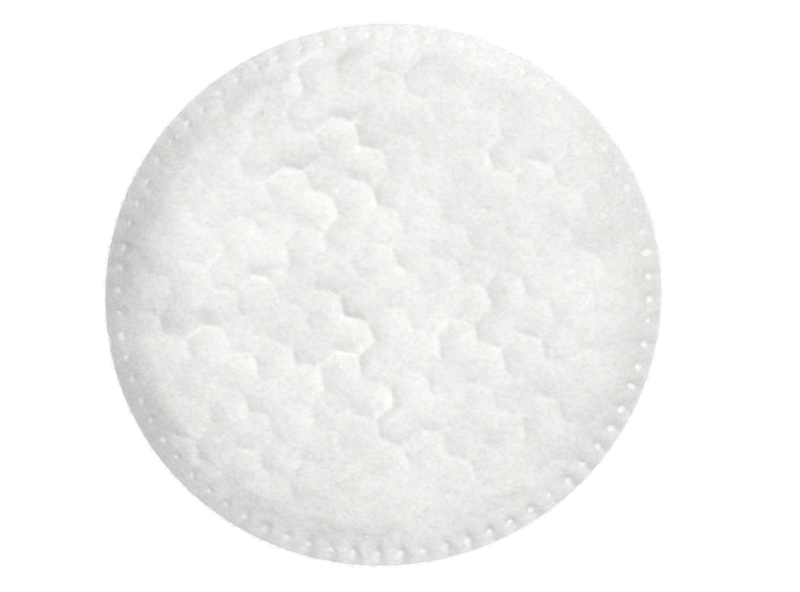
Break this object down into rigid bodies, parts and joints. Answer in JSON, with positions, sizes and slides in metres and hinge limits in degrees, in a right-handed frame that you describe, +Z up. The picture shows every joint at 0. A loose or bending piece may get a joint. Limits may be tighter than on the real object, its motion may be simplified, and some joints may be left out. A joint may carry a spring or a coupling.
{
  "type": "cotton pad",
  "caption": "Round cotton pad for cosmetics: one pressed, die-cut web of cotton with an embossed pillow pattern on top, a crimped rim and a flat plain underside.",
  "frame": {"origin": "centre of the flat underside, on the surface the pad lies on", "axes": "+Z up out of the embossed face; +X and +Y across the pad, with its slightly longer way turned 11.3 degrees from +X towards +Y"},
  "size_m": [0.057, 0.0554, 0.0038],
  "materials": {
    "cotton": "soft matte white cotton fibre, pressed"
  },
  "bodies": {
    "root": {"cotton_pad": "cotton"}
  },
  "joints": []
}
